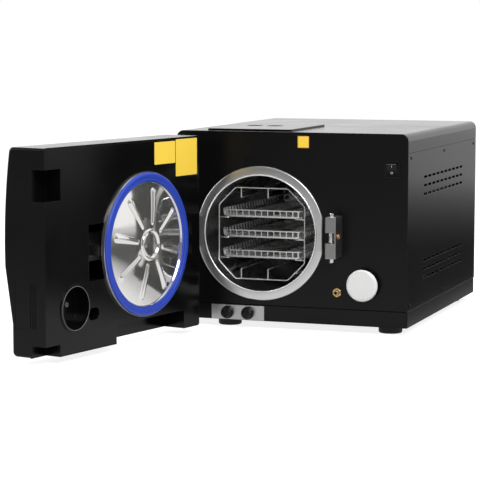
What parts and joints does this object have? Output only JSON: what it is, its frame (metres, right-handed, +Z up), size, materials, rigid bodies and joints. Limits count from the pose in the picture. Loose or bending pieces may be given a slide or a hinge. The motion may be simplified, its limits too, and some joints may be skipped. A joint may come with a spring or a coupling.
{
  "type": "bench autoclave",
  "caption": "Bench steam steriliser with a swing door on a pinned arm, a round chamber, a wire rack with slotted trays, and a water tank under a lift-off plate.",
  "frame": {"origin": "centre of the four foot screw holes, on the plane that the feet stand on", "axes": "+X to the right seen from the front, +Y from the front to the back, +Z up"},
  "size_m": [0.6348, 1.2023, 0.422],
  "materials": {
    "coat_black": "satin powder coat",
    "frame_paint": "matt",
    "chamber_steel": "satin",
    "disc_steel": "polished",
    "plate_aluminium": "cast",
    "rack_wire": "polished wire",
    "tray_steel": "pressed sheet",
    "latch_steel": "ground",
    "pin_steel": "turned",
    "screw_black": "blackened",
    "plate_steel": "satin",
    "seal_blue": "smooth silicone",
    "door_black": "fine grain",
    "fitting_black": "moulded",
    "rocker_black": "moulded",
    "filter_white": "moulded",
    "port_plastic": "moulded",
    "brass": "turned",
    "foot_rubber": "matt",
    "heater_rubber": "matt silicone",
    "wool": "mineral felt",
    "tank_plastic": "moulded",
    "board_green": "lacquered",
    "fan_plastic": "moulded",
    "motor_steel": "plated",
    "window_dark": "clear front",
    "key_plastic": "moulded"
  },
  "bodies": {
    "cabinet": {"base_pan": "coat_black", "front_panel": "coat_black", "top_cover": "coat_black", "side_panel_left": "coat_black", "side_panel_right": "coat_black", "rear_panel": "coat_black", "front_frame": "frame_paint", "rear_saddle": "frame_paint", "power_supply": "frame_paint", "chamber_vessel": "chamber_steel", "chamber_flange": "chamber_steel", "rack_rails": "chamber_steel", "vacuum_pump": "plate_aluminium", "latch_block": "latch_steel", "hinge_block": "latch_steel", "latch_pin": "pin_steel", "hinge_pin": "pin_steel", "panel_screws": "screw_black", "drain_plate": "plate_steel", "switch_housing": "fitting_black", "power_inlet": "fitting_black", "air_filter": "filter_white", "filter_port": "port_plastic", "drain_fitting": "brass", "strike_screw": "brass", "drain_valves": "brass", "safety_valve": "brass", "solenoid_valves": "brass", "feet": "foot_rubber", "heater_band": "heater_rubber", "insulation_jacket": "wool", "water_tank": "tank_plastic", "control_board": "board_green", "fan_frame": "fan_plastic"},
    "door": {"door_outer_shell": "door_black", "door_inner_shell": "door_black", "door_side_cover": "door_black", "door_arm": "frame_paint", "door_spindle": "chamber_steel", "pressure_plate": "plate_aluminium", "door_disc": "disc_steel", "door_seal": "seal_blue", "lock_motor": "motor_steel", "display_window": "window_dark", "display_board": "board_green"},
    "hook": {"latch_hook": "latch_steel"},
    "rack_frame": {"rack": "rack_wire"},
    "lower_tray": {"tray_bottom": "tray_steel"},
    "centre_tray": {"tray_middle": "tray_steel"},
    "upper_tray": {"tray_top": "tray_steel"},
    "cover_plate": {"tank_lid": "coat_black"},
    "left_knob": {"drain_knob_left": "fitting_black"},
    "right_knob": {"drain_knob_right": "fitting_black"},
    "switch_rocker": {"rocker": "rocker_black"},
    "fan_wheel": {"fan_rotor": "fan_plastic"},
    "button_1": {"key_1": "key_plastic"},
    "button_2": {"key_2": "key_plastic"},
    "button_3": {"key_3": "key_plastic"},
    "button_4": {"key_4": "key_plastic"}
  },
  "joints": [
    {"name": "door_swing", "type": "hinge", "parent": "cabinet", "child": "door", "pos_m": [-0.273, -0.384, 0.203], "axis": [0, 0, -1], "range_deg": [-102.3, 0]},
    {"name": "latch_swing", "type": "hinge", "parent": "door", "child": "hook", "pos_m": [-0.34405, -0.70984, 0.203], "axis": [0, 0, -1], "range_deg": [0, 16]},
    {"name": "rack_slide", "type": "slide", "parent": "cabinet", "child": "rack_frame", "axis": [0, -1, 0], "range_m": [0, 0.36]},
    {"name": "lower_tray_slide", "type": "slide", "parent": "rack_frame", "child": "lower_tray", "axis": [0, -1, 0], "range_m": [0, 0.34]},
    {"name": "centre_tray_slide", "type": "slide", "parent": "rack_frame", "child": "centre_tray", "axis": [0, -1, 0], "range_m": [0, 0.34]},
    {"name": "upper_tray_slide", "type": "slide", "parent": "rack_frame", "child": "upper_tray", "axis": [0, -1, 0], "range_m": [0, 0.34]},
    {"name": "cover_lift", "type": "slide", "parent": "cabinet", "child": "cover_plate", "axis": [0, 0, 1], "range_m": [0, 0.06]},
    {"name": "left_knob_turn", "type": "hinge", "parent": "cabinet", "child": "left_knob", "pos_m": [-0.16795, -0.31, 0.032], "axis": [0, -1, 0], "range_deg": [0, 270]},
    {"name": "right_knob_turn", "type": "hinge", "parent": "cabinet", "child": "right_knob", "pos_m": [-0.12205, -0.31, 0.032], "axis": [0, -1, 0], "range_deg": [0, 270]},
    {"name": "rocker_tilt", "type": "hinge", "parent": "cabinet", "child": "switch_rocker", "pos_m": [0.192, -0.301, 0.345], "axis": [-1, 0, 0], "range_deg": [0, 16]},
    {"name": "fan_spin", "type": "hinge", "parent": "cabinet", "child": "fan_wheel", "pos_m": [0.121, 0.293, 0.29], "axis": [0, 1, 0], "continuous": true},
    {"name": "key_1_press", "type": "slide", "parent": "door", "child": "button_1", "axis": [0.977, -0.213, 0], "range_m": [0, 0.0012], "stiffness_N_per_m": 600, "springref_m": -0.0008},
    {"name": "key_2_press", "type": "slide", "parent": "door", "child": "button_2", "axis": [0.977, -0.213, 0], "range_m": [0, 0.0012], "stiffness_N_per_m": 600, "springref_m": -0.0008},
    {"name": "key_3_press", "type": "slide", "parent": "door", "child": "button_3", "axis": [0.977, -0.213, 0], "range_m": [0, 0.0012], "stiffness_N_per_m": 600, "springref_m": -0.0008},
    {"name": "key_4_press", "type": "slide", "parent": "door", "child": "button_4", "axis": [0.977, -0.213, 0], "range_m": [0, 0.0012], "stiffness_N_per_m": 600, "springref_m": -0.0008}
  ]
}
